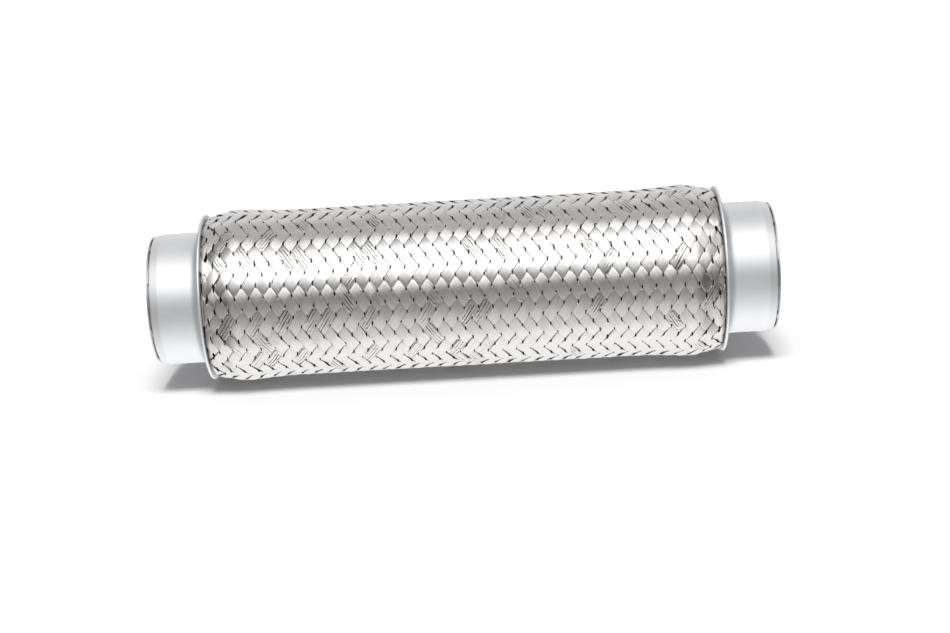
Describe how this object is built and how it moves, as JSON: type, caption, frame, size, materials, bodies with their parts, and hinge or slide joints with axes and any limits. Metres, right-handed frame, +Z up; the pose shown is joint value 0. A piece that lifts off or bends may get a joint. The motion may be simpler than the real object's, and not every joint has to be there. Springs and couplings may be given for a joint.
{
  "type": "metal bellows expansion joint",
  "caption": "Straight flexible metal pipe: a woven steel braid over a corrugated bellows and a hooked liner, with a flared plain tube cap at each end.",
  "frame": {"origin": "on the pipe's axis, halfway along it", "axes": "+X along the pipe from the inlet to the outlet, +Z up, +Y across"},
  "size_m": [0.26, 0.0728, 0.0728],
  "materials": {
    "cap_steel": "satin",
    "weld_steel": "satin",
    "sleeve_steel": "satin",
    "bellows_steel": "bright",
    "braid_wire": "bright",
    "liner_steel": "satin"
  },
  "bodies": {
    "inlet_end": {"inlet_end_cap": "cap_steel", "inlet_liner_sleeve": "sleeve_steel", "inlet_tack_welds": "weld_steel", "bellows_inner_ply": "bellows_steel", "bellows_outer_ply": "bellows_steel", "outer_braid": "braid_wire"},
    "turn_01": {"liner_turn_01": "liner_steel"},
    "turn_02": {"liner_turn_02": "liner_steel"},
    "turn_03": {"liner_turn_03": "liner_steel"},
    "turn_04": {"liner_turn_04": "liner_steel"},
    "turn_05": {"liner_turn_05": "liner_steel"},
    "turn_06": {"liner_turn_06": "liner_steel"},
    "turn_07": {"liner_turn_07": "liner_steel"},
    "turn_08": {"liner_turn_08": "liner_steel"},
    "turn_09": {"liner_turn_09": "liner_steel"},
    "turn_10": {"liner_turn_10": "liner_steel"},
    "turn_11": {"liner_turn_11": "liner_steel"},
    "turn_12": {"liner_turn_12": "liner_steel"},
    "turn_13": {"liner_turn_13": "liner_steel"},
    "turn_14": {"liner_turn_14": "liner_steel"},
    "turn_15": {"liner_turn_15": "liner_steel"},
    "turn_16": {"liner_turn_16": "liner_steel"},
    "turn_17": {"liner_turn_17": "liner_steel"},
    "turn_18": {"liner_turn_18": "liner_steel"},
    "turn_19": {"liner_turn_19": "liner_steel"},
    "turn_20": {"liner_turn_20": "liner_steel"},
    "turn_21": {"liner_turn_21": "liner_steel"},
    "turn_22": {"liner_turn_22": "liner_steel"},
    "turn_23": {"liner_turn_23": "liner_steel"},
    "outlet_end": {"outlet_end_cap": "cap_steel", "outlet_liner_sleeve": "sleeve_steel", "outlet_tack_welds": "weld_steel"}
  },
  "joints": [
    {"name": "vertical_bend_01", "type": "hinge", "parent": "inlet_end", "child": "turn_01", "pos_m": [-0.0966, 0, 0], "axis": [0, 1, 0], "range_deg": [-2, 2], "stiffness_Nm_per_rad": 456, "deforming": ["bellows_inner_ply", "bellows_outer_ply", "outer_braid"]},
    {"name": "sideways_bend_01", "type": "hinge", "parent": "turn_01", "child": "turn_02", "pos_m": [-0.0882, 0, 0], "axis": [0, 0, 1], "range_deg": [-2, 2], "stiffness_Nm_per_rad": 456, "deforming": ["bellows_inner_ply", "bellows_outer_ply", "outer_braid"]},
    {"name": "stretch_01", "type": "slide", "parent": "turn_02", "child": "turn_03", "axis": [1, 0, 0], "range_m": [-0.00125, 0.00063], "stiffness_N_per_m": 240000, "deforming": ["bellows_inner_ply", "bellows_outer_ply", "outer_braid"]},
    {"name": "vertical_bend_02", "type": "hinge", "parent": "turn_03", "child": "turn_04", "pos_m": [-0.0714, 0, 0], "axis": [0, 1, 0], "range_deg": [-2, 2], "stiffness_Nm_per_rad": 456},
    {"name": "sideways_bend_02", "type": "hinge", "parent": "turn_04", "child": "turn_05", "pos_m": [-0.063, 0, 0], "axis": [0, 0, 1], "range_deg": [-2, 2], "stiffness_Nm_per_rad": 456},
    {"name": "stretch_02", "type": "slide", "parent": "turn_05", "child": "turn_06", "axis": [1, 0, 0], "range_m": [-0.00125, 0.00063], "stiffness_N_per_m": 240000},
    {"name": "vertical_bend_03", "type": "hinge", "parent": "turn_06", "child": "turn_07", "pos_m": [-0.0462, 0, 0], "axis": [0, 1, 0], "range_deg": [-2, 2], "stiffness_Nm_per_rad": 456},
    {"name": "sideways_bend_03", "type": "hinge", "parent": "turn_07", "child": "turn_08", "pos_m": [-0.0378, 0, 0], "axis": [0, 0, 1], "range_deg": [-2, 2], "stiffness_Nm_per_rad": 456},
    {"name": "stretch_03", "type": "slide", "parent": "turn_08", "child": "turn_09", "axis": [1, 0, 0], "range_m": [-0.00125, 0.00063], "stiffness_N_per_m": 240000},
    {"name": "vertical_bend_04", "type": "hinge", "parent": "turn_09", "child": "turn_10", "pos_m": [-0.021, 0, 0], "axis": [0, 1, 0], "range_deg": [-2, 2], "stiffness_Nm_per_rad": 456},
    {"name": "sideways_bend_04", "type": "hinge", "parent": "turn_10", "child": "turn_11", "pos_m": [-0.0126, 0, 0], "axis": [0, 0, 1], "range_deg": [-2, 2], "stiffness_Nm_per_rad": 456},
    {"name": "stretch_04", "type": "slide", "parent": "turn_11", "child": "turn_12", "axis": [1, 0, 0], "range_m": [-0.00125, 0.00063], "stiffness_N_per_m": 240000},
    {"name": "vertical_bend_05", "type": "hinge", "parent": "turn_12", "child": "turn_13", "pos_m": [0.0042, 0, 0], "axis": [0, 1, 0], "range_deg": [-2, 2], "stiffness_Nm_per_rad": 456},
    {"name": "sideways_bend_05", "type": "hinge", "parent": "turn_13", "child": "turn_14", "pos_m": [0.0126, 0, 0], "axis": [0, 0, 1], "range_deg": [-2, 2], "stiffness_Nm_per_rad": 456},
    {"name": "stretch_05", "type": "slide", "parent": "turn_14", "child": "turn_15", "axis": [1, 0, 0], "range_m": [-0.00125, 0.00063], "stiffness_N_per_m": 240000},
    {"name": "vertical_bend_06", "type": "hinge", "parent": "turn_15", "child": "turn_16", "pos_m": [0.0294, 0, 0], "axis": [0, 1, 0], "range_deg": [-2, 2], "stiffness_Nm_per_rad": 456},
    {"name": "sideways_bend_06", "type": "hinge", "parent": "turn_16", "child": "turn_17", "pos_m": [0.0378, 0, 0], "axis": [0, 0, 1], "range_deg": [-2, 2], "stiffness_Nm_per_rad": 456},
    {"name": "stretch_06", "type": "slide", "parent": "turn_17", "child": "turn_18", "axis": [1, 0, 0], "range_m": [-0.00125, 0.00063], "stiffness_N_per_m": 240000},
    {"name": "vertical_bend_07", "type": "hinge", "parent": "turn_18", "child": "turn_19", "pos_m": [0.0546, 0, 0], "axis": [0, 1, 0], "range_deg": [-2, 2], "stiffness_Nm_per_rad": 456},
    {"name": "sideways_bend_07", "type": "hinge", "parent": "turn_19", "child": "turn_20", "pos_m": [0.063, 0, 0], "axis": [0, 0, 1], "range_deg": [-2, 2], "stiffness_Nm_per_rad": 456},
    {"name": "stretch_07", "type": "slide", "parent": "turn_20", "child": "turn_21", "axis": [1, 0, 0], "range_m": [-0.00125, 0.00063], "stiffness_N_per_m": 240000},
    {"name": "vertical_bend_08", "type": "hinge", "parent": "turn_21", "child": "turn_22", "pos_m": [0.0798, 0, 0], "axis": [0, 1, 0], "range_deg": [-2, 2], "stiffness_Nm_per_rad": 456},
    {"name": "sideways_bend_08", "type": "hinge", "parent": "turn_22", "child": "turn_23", "pos_m": [0.0882, 0, 0], "axis": [0, 0, 1], "range_deg": [-2, 2], "stiffness_Nm_per_rad": 456},
    {"name": "stretch_08", "type": "slide", "parent": "turn_23", "child": "outlet_end", "axis": [1, 0, 0], "range_m": [-0.00125, 0.00063], "stiffness_N_per_m": 240000}
  ],
  "couplings": [
    {"joint": "vertical_bend_02", "follows": "vertical_bend_01", "ratio": 1},
    {"joint": "sideways_bend_02", "follows": "sideways_bend_01", "ratio": 1},
    {"joint": "stretch_02", "follows": "stretch_01", "ratio": 1},
    {"joint": "vertical_bend_03", "follows": "vertical_bend_01", "ratio": 1},
    {"joint": "sideways_bend_03", "follows": "sideways_bend_01", "ratio": 1},
    {"joint": "stretch_03", "follows": "stretch_01", "ratio": 1},
    {"joint": "vertical_bend_04", "follows": "vertical_bend_01", "ratio": 1},
    {"joint": "sideways_bend_04", "follows": "sideways_bend_01", "ratio": 1},
    {"joint": "stretch_04", "follows": "stretch_01", "ratio": 1},
    {"joint": "vertical_bend_05", "follows": "vertical_bend_01", "ratio": 1},
    {"joint": "sideways_bend_05", "follows": "sideways_bend_01", "ratio": 1},
    {"joint": "stretch_05", "follows": "stretch_01", "ratio": 1},
    {"joint": "vertical_bend_06", "follows": "vertical_bend_01", "ratio": 1},
    {"joint": "sideways_bend_06", "follows": "sideways_bend_01", "ratio": 1},
    {"joint": "stretch_06", "follows": "stretch_01", "ratio": 1},
    {"joint": "vertical_bend_07", "follows": "vertical_bend_01", "ratio": 1},
    {"joint": "sideways_bend_07", "follows": "sideways_bend_01", "ratio": 1},
    {"joint": "stretch_07", "follows": "stretch_01", "ratio": 1},
    {"joint": "vertical_bend_08", "follows": "vertical_bend_01", "ratio": 1},
    {"joint": "sideways_bend_08", "follows": "sideways_bend_01", "ratio": 1},
    {"joint": "stretch_08", "follows": "stretch_01", "ratio": 1}
  ]
}
